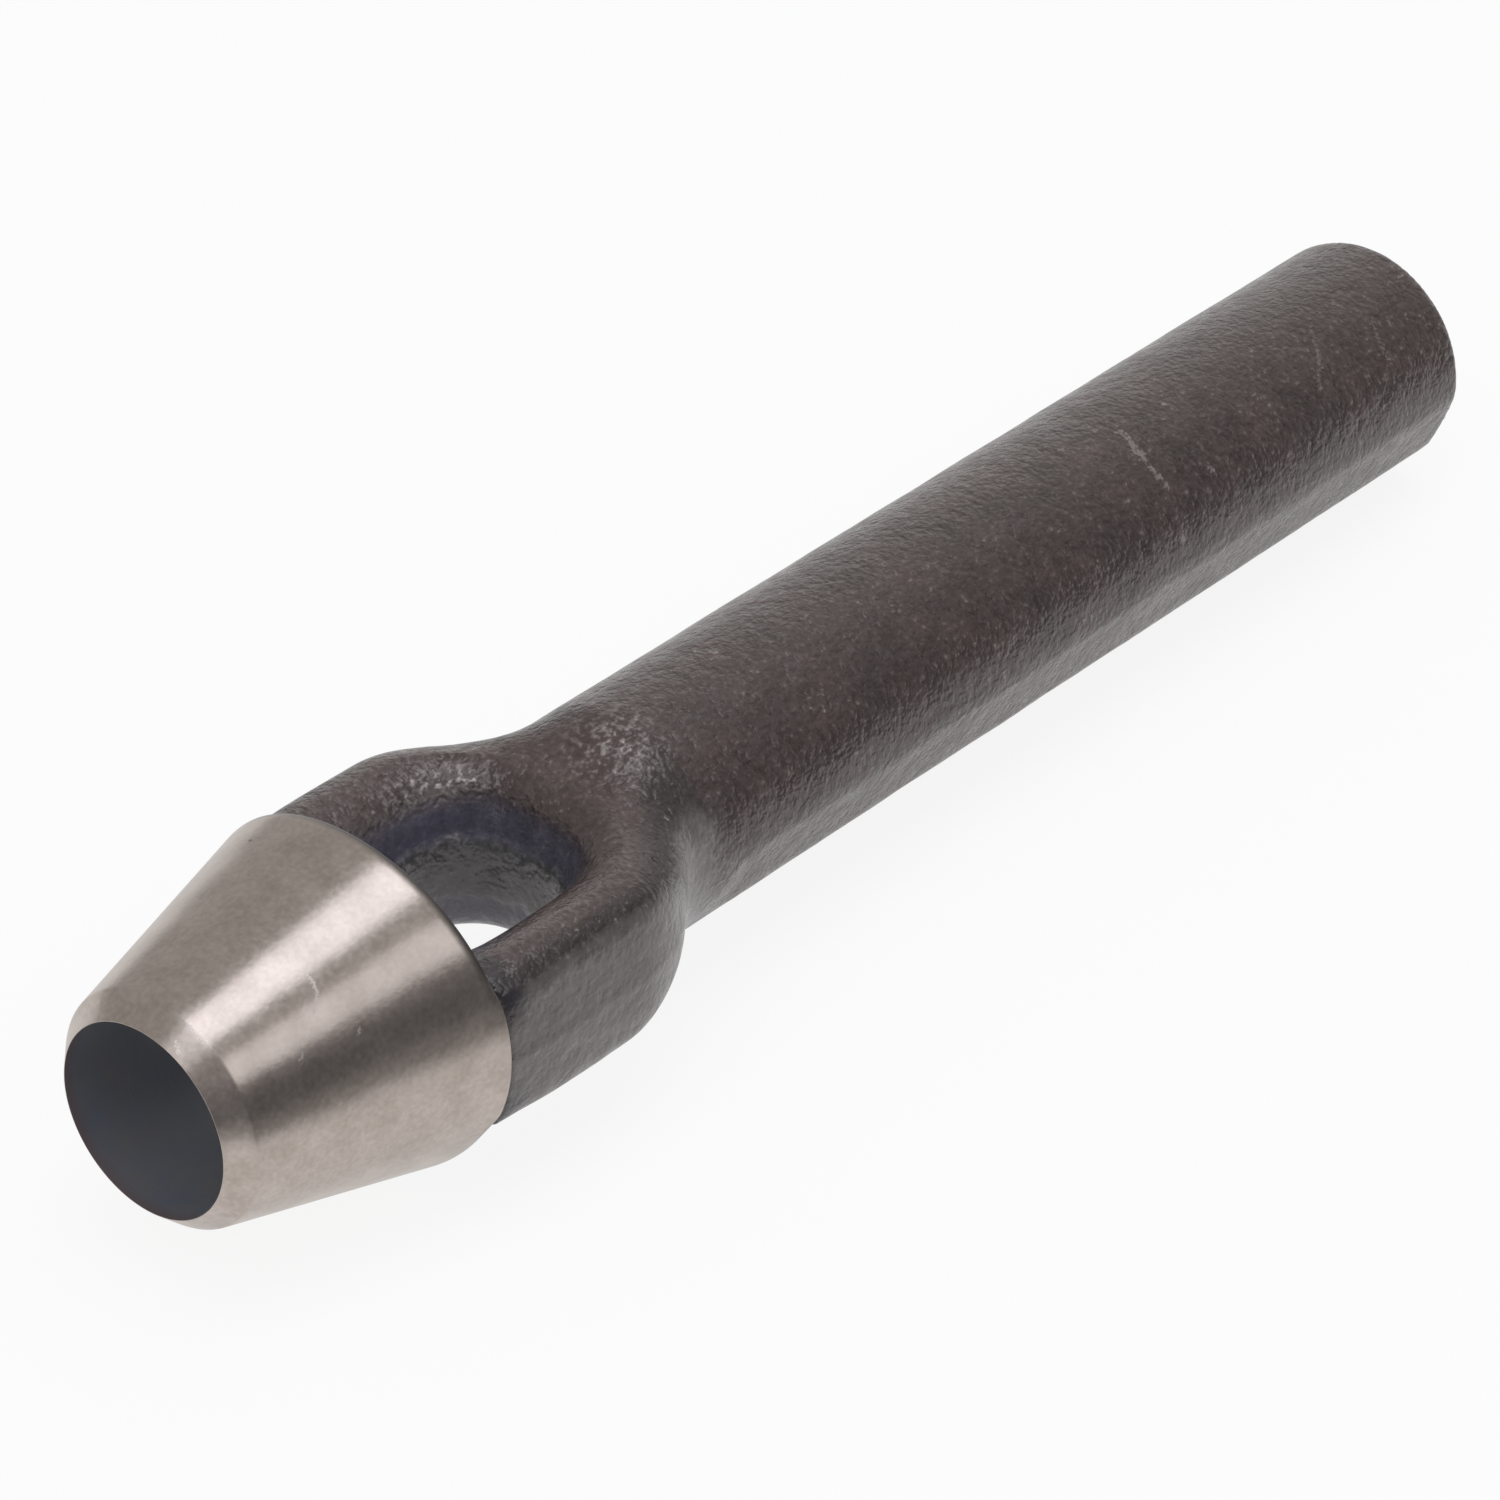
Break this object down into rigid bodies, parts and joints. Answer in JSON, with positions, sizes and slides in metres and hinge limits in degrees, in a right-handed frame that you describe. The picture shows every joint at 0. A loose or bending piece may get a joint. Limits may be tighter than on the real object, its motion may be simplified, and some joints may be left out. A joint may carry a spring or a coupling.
{
  "type": "hollow punch",
  "caption": "Forged steel hollow punch with a ground conical cutting head, a through bore, an open eye that lets the cut discs out, and a round shank to strike.",
  "frame": {"origin": "centre of the circular cutting edge, on the punch's axis", "axes": "+X along the punch from the cutting edge to the struck face, +Z along the window through the eye, the dies part at z = 0"},
  "size_m": [0.12, 0.0238, 0.023],
  "materials": {
    "ground_steel": "turned and ground tool steel with fine lines round the axis",
    "forged_scale": "dark brown-black forging scale, lightly pitted"
  },
  "bodies": {
    "root": {"cutting_head": "ground_steel", "eye": "forged_scale", "shank": "forged_scale"}
  },
  "joints": []
}
